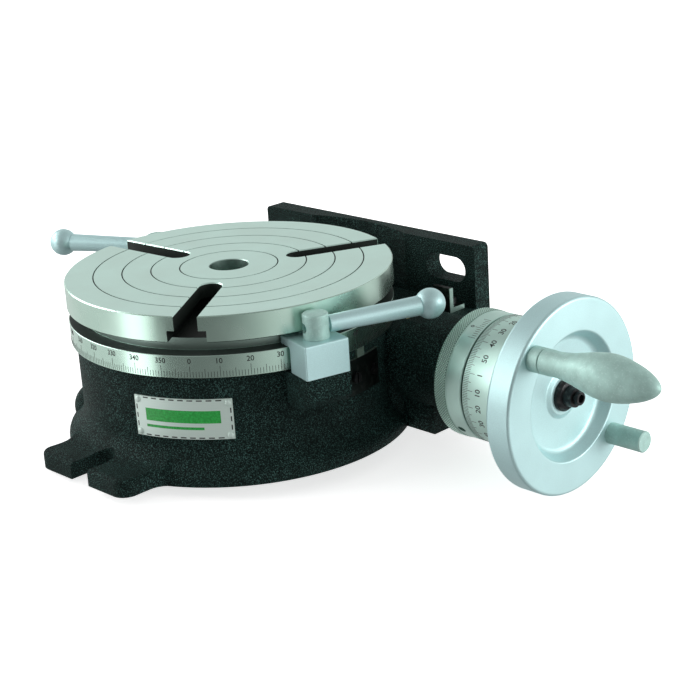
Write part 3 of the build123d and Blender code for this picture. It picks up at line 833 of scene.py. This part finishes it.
def lay_floor(half):
    mesh = bpy.data.meshes.new("floor")
    square = ((-half, -half), (half, -half), (half, half), (-half, half))
    mesh.from_pydata([(x, y, floor_height(x, y)) for x, y in square], [], [(0, 1, 2, 3)])
    thing = bpy.data.objects.new("floor", mesh)
    bpy.context.scene.collection.objects.link(thing)
    pale = Finish("pale_floor_painted_shadow", roughness=0.9, specular_ior_level=0.1, emission_strength=1.0)
    x, y = pale.place()[:2]
    # painted shadow: the floor's glow is dimmer within about 0.3 m of the table
    painted_shadow_fade = (x - 0.05).length_with(y).between(0.10, 0.32)
    pale.set(emission_color=pale.mix(painted_shadow_fade, rgb(0.70, 0.70, 0.70), rgb(0.9, 0.9, 0.9)))
    pale.set(base_color=pale.mix(pale.noise(3), rgb(0.90, 0.90, 0.90), rgb(0.92, 0.92, 0.92)))
    mesh.materials.append(pale.material)
    thing.visible_glossy = False
    thing.visible_diffuse = False
    return thing


lay_floor(FLOOR_HALF)
print("floor falls", round(math.degrees(math.atan(SLOPE)), 2), "degrees towards the handwheel")


# %% [markdown]
# ## Lamps and surround
#
# Three broad soft lamps stand round the bench, and the surround gives the even light of a white
# room. A mirror-like face shows whatever stands in front of it, so the surround is graded: it is
# dark behind the camera, which keeps the castings black, with one bright card that the ground faces
# pick up. The camera itself sees plain white.

# %% Hang the lamps
def lamp(name, place, aim, size, power):
    data = bpy.data.lights.new(name, "AREA")
    data.shape = "RECTANGLE"
    data.size, data.size_y = size
    data.energy = power
    thing = bpy.data.objects.new(name, data)
    thing.location = place
    direction = Vector(aim) - Vector(place)
    thing.rotation_euler = direction.to_track_quat("-Z", "Y").to_euler()
    bpy.context.scene.collection.objects.link(thing)
    return thing


def round_the_bench(azimuth, elevation, distance):
    """A place at an azimuth, 0 in front and 90 at the handwheel's end, and an elevation."""
    turn, rise = math.radians(azimuth), math.radians(elevation)
    flat = distance * math.cos(rise)
    return (flat * math.sin(turn), -flat * math.cos(turn), distance * math.sin(rise))


AIM = (0.05, 0.02, 0.05)
lamp("left_softbox", round_the_bench(-30, 20, 1.5), AIM, (0.5, 0.8), 5.5)
lamp("side_softbox", round_the_bench(-70, 30, 1.5), AIM, (0.8, 0.8), 7.5)
lamp("right_softbox", round_the_bench(118, 8, 1.6), AIM, (0.9, 0.9), 12)
print("three softboxes")


# %% Grade the surround
FRONT = math.radians(22)
DARK_FRONT = (math.sin(FRONT), -math.cos(FRONT), 0)
CARD = round_the_bench(-20, -19, 1.0)
GREYS = [(0.0, 0.25), (0.28, 0.74), (0.50, 0.78), (0.62, 0.72), (0.74, 0.68), (1.0, 0.30)]


def surround():
    """White to look at. As light it is bright all round, dimmer overhead and dark in front."""
    world = bpy.data.worlds.new("studio")
    world.use_nodes = True
    sky = Graph(world.node_tree)
    direction = sky.node("ShaderNodeTexCoord")
    upward = sky.node("ShaderNodeSeparateXYZ", {}, {0: direction}, "Z")
    height = sky.node("ShaderNodeMapRange", {}, {"Value": upward, "From Min": -1.0})
    stops = [(place, rgb(grey, grey, grey)) for place, grey in GREYS]
    ramp = sky.node("ShaderNodeValToRGB", {"stops": stops}, {"Fac": height})

    def patch(middle, edge, full, at_edge, at_full):
        """One value far from a direction and another close round it."""
        close = sky.node("ShaderNodeVectorMath", {"operation": "DOT_PRODUCT"},
                         {0: direction, 1: middle}, "Value")
        limits = {"From Min": edge, "From Max": full, "To Min": at_edge, "To Max": at_full}
        return sky.node("ShaderNodeMapRange", {}, {"Value": close, **limits})

    strength = patch(DARK_FRONT, 0.50, 0.92, 1.0, 0.24) + patch(CARD, 0.975, 0.985, 0.0, 2.2)
    light = sky.node("ShaderNodeVectorMath", {"operation": "SCALE"}, {0: ramp, "Scale": strength})
    camera_ray = sky.node("ShaderNodeLightPath", output="Is Camera Ray")
    seen = sky.mix(camera_ray, light, rgb(1, 1, 1))
    sky.feed(sky.tree.nodes["Background"].inputs["Color"], seen)
    return world


bpy.context.scene.world = surround()
bpy.context.scene.view_settings.view_transform = "Standard"
print("graded the surround in", len(GREYS), "steps")


# %% [markdown]
# ## Camera
#
# The camera is placed by azimuth and height about a target, as if it were carried round the bench,
# and rolled a little because the machine leans on its handwheel.

# %% Place the camera
AZIMUTH = math.radians(46.1)
ELEVATION = math.radians(19.38)
ROLL = math.radians(-3.65)
DISTANCE = 1.03503
RIGHT_SHIFT = 0.07091
DOWN_SHIFT = 0.00469
LENS = 85.83
SENSOR = 36
back = Vector((math.sin(AZIMUTH) * math.cos(ELEVATION), -math.cos(AZIMUTH) * math.cos(ELEVATION),
               math.sin(ELEVATION)))
level_right = Vector((math.cos(AZIMUTH), math.sin(AZIMUTH), 0))
level_up = back.cross(level_right)
right = math.cos(ROLL) * level_right + math.sin(ROLL) * level_up
up = -math.sin(ROLL) * level_right + math.cos(ROLL) * level_up
target = Vector((0, 0, 0.05)) + RIGHT_SHIFT * right - DOWN_SHIFT * up

camera_data = bpy.data.cameras.new("camera")
camera_data.lens = LENS
camera_data.sensor_width = SENSOR
camera = bpy.data.objects.new("camera", camera_data)
bpy.context.scene.collection.objects.link(camera)
axes = Matrix((right, up, back)).transposed()
camera.matrix_world = Matrix.Translation(target + DISTANCE * back) @ axes.to_4x4()
bpy.context.scene.camera = camera
print("camera at", [round(part, 3) for part in camera.matrix_world.translation])
